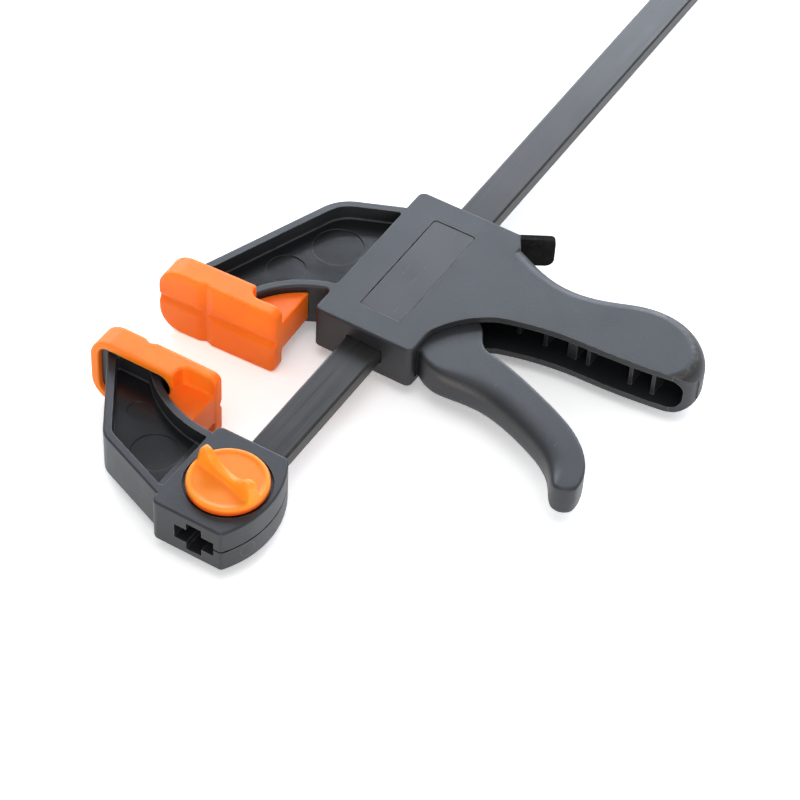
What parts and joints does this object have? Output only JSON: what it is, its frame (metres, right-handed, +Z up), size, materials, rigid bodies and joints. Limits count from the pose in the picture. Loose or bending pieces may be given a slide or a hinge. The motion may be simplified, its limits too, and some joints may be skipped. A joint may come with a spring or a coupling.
{
  "type": "quick release bar clamp",
  "caption": "Pistol-grip bar clamp: a flat steel bar through a fixed jaw and a sliding jaw, soft grip pads, a squeeze trigger, a thumb release lever and a quick change knob.",
  "frame": {"origin": "on the underside of the fixed jaw's nose, below the axis of the quick change knob", "axes": "+X along the bar from the fixed jaw to its free end, +Y to the jaw tips, +Z up through the thickness of the clamp"},
  "size_m": [0.3462, 0.1641, 0.0289],
  "materials": {
    "body_plastic": "fine matte moulding",
    "black_steel": "blackened satin steel",
    "pin_steel": "ground",
    "plate_steel": "as pressed",
    "spring_steel": "drawn wire",
    "pad_rubber": "satin",
    "knob_plastic": "satin gloss",
    "plate_plastic": "matte"
  },
  "bodies": {
    "bar_assembly": {"bar": "black_steel", "front_roll_pin": "pin_steel", "rear_roll_pin": "pin_steel", "fixed_jaw": "body_plastic", "fixed_jaw_pad": "pad_rubber", "knob_snap_ring": "spring_steel"},
    "knob": {"quick_change_knob": "knob_plastic"},
    "moving_jaw": {"housing": "body_plastic", "moving_jaw_pad": "pad_rubber", "nameplate": "plate_plastic", "trigger_pivot_pin": "pin_steel", "brake_fulcrum_pin": "pin_steel", "drive_spring": "spring_steel", "brake_spring": "spring_steel"},
    "trigger_lever": {"trigger": "body_plastic"},
    "drive": {"drive_plate_front": "plate_steel", "drive_plate_rear": "plate_steel"},
    "brake": {"brake_lever": "black_steel"}
  },
  "joints": [
    {"name": "jaw_slide", "type": "slide", "parent": "bar_assembly", "child": "moving_jaw", "axis": [1, 0, 0], "range_m": [-0.0275, 0.1708]},
    {"name": "trigger_squeeze", "type": "hinge", "parent": "moving_jaw", "child": "trigger_lever", "pos_m": [0.0845, 0.0115, 0.0081], "axis": [0, 0, 1], "range_deg": [0, 20], "stiffness_Nm_per_rad": 0.2, "springref_deg": -11.46},
    {"name": "drive_slide", "type": "slide", "parent": "moving_jaw", "child": "drive", "axis": [1, 0, 0], "range_m": [0, 0.0069], "deforming": ["drive_spring"]},
    {"name": "brake_release", "type": "hinge", "parent": "moving_jaw", "child": "brake", "pos_m": [0.1358, -0.0093, 0.0081], "axis": [0, 0, 1], "range_deg": [-5, 0], "stiffness_Nm_per_rad": 0.4, "springref_deg": 5.73, "deforming": ["brake_spring"]},
    {"name": "knob_turn", "type": "hinge", "parent": "bar_assembly", "child": "knob", "pos_m": [0, 0, 0.0152], "axis": [0, 0, 1], "range_deg": [0, 90]}
  ],
  "couplings": [
    {"joint": "drive_slide", "follows": "trigger_squeeze", "m_per_rad": 0.0195}
  ]
}
